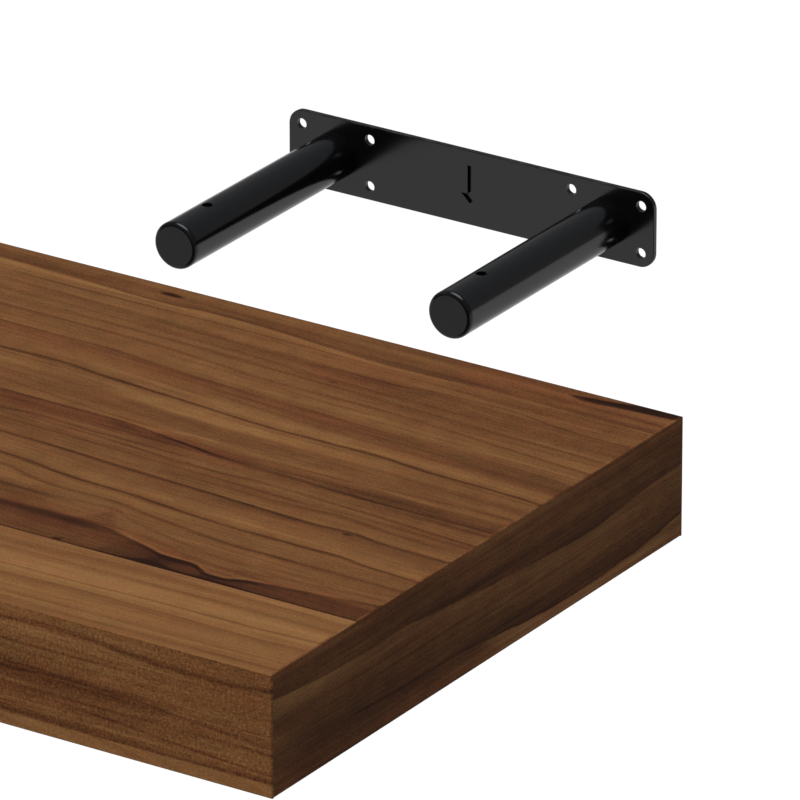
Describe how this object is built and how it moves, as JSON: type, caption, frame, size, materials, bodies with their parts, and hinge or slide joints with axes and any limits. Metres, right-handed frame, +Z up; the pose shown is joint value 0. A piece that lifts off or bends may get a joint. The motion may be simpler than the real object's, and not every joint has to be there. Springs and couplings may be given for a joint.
{
  "type": "floating wall shelf",
  "caption": "Floating shelf: a hollow core board in walnut look that slides onto a hidden black steel wall bracket with round posts, shown drawn apart.",
  "frame": {"origin": "centre of the wall plate's back face, on the wall plane", "axes": "+X along the shelf, to the right seen from the front; +Y into the wall; +Z up"},
  "size_m": [0.4, 0.4292, 0.0438],
  "materials": {
    "black_steel": "satin black powder coat",
    "cap_plastic": "black moulded plastic",
    "walnut_skin": "walnut look, matt lacquer",
    "walnut_band": "walnut look edge strip, matt lacquer",
    "frame_board": "raw board",
    "core_paper": "brown paper",
    "screw_steel": "zinc plated"
  },
  "bodies": {
    "bracket": {"wall_plate": "black_steel", "left_post": "black_steel", "right_post": "black_steel", "left_end_cap": "cap_plastic", "right_end_cap": "cap_plastic"},
    "board": {"top_panel": "walnut_skin", "bottom_panel": "walnut_skin", "front_edge_band": "walnut_band", "back_edge_band": "walnut_band", "left_edge_band": "walnut_band", "right_edge_band": "walnut_band", "front_rail": "frame_board", "back_rail": "frame_board", "left_end_rail": "frame_board", "right_end_rail": "frame_board", "left_post_block": "frame_board", "right_post_block": "frame_board", "honeycomb_core": "core_paper"},
    "left_lock": {"left_locking_screw": "screw_steel"},
    "right_lock": {"right_locking_screw": "screw_steel"}
  },
  "joints": [
    {"name": "board_slide", "type": "slide", "parent": "bracket", "child": "board", "axis": [0, 1, 0], "range_m": [0, 0.1792]},
    {"name": "left_lock_drive", "type": "slide", "parent": "board", "child": "left_lock", "axis": [0, 0, 1], "range_m": [0, 0.0057]},
    {"name": "right_lock_drive", "type": "slide", "parent": "board", "child": "right_lock", "axis": [0, 0, 1], "range_m": [0, 0.0057]}
  ]
}
